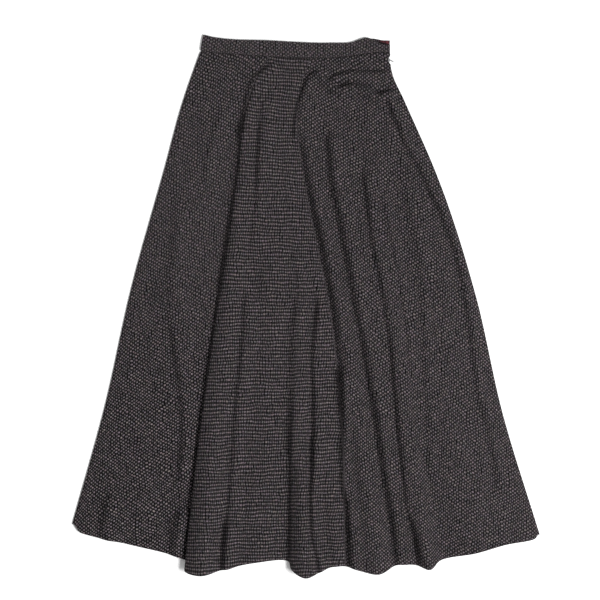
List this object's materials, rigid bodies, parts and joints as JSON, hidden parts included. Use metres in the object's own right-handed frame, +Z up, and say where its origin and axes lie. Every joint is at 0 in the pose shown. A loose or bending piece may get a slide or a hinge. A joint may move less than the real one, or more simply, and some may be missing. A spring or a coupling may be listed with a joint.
{
  "type": "a-line skirt",
  "caption": "Flared A-line maxi skirt in dark tweed, laid flat on its back, with a narrow waistband, soft hem folds and a concealed side zip.",
  "frame": {"origin": "middle of the bounding box, on the surface that the skirt lies on", "axes": "+Z up out of the surface, +Y from hem to waist, +X towards the side with the zip (the wearer's left)"},
  "size_m": [0.812, 0.9403, 0.0307],
  "materials": {
    "tweed": "dark two-tone tweed weave",
    "red_tape": "plain woven tape",
    "zip_tape": "woven tape with a coil",
    "zip_metal": "satin grey",
    "hook_metal": "pressed sheet"
  },
  "bodies": {
    "skirt": {"front_panel": "tweed", "back_panel": "tweed", "waistband": "tweed", "inner_tape": "red_tape", "zip_tape": "zip_tape", "zip_slider": "zip_metal", "band_bar": "hook_metal", "band_hook": "hook_metal"},
    "pull": {"zip_pull": "zip_metal"}
  },
  "joints": [
    {"name": "pull_swing", "type": "hinge", "parent": "skirt", "child": "pull", "pos_m": [0.1446, 0.4266, 0.0032], "axis": [0, 0, 1], "range_deg": [-60, 110]}
  ]
}
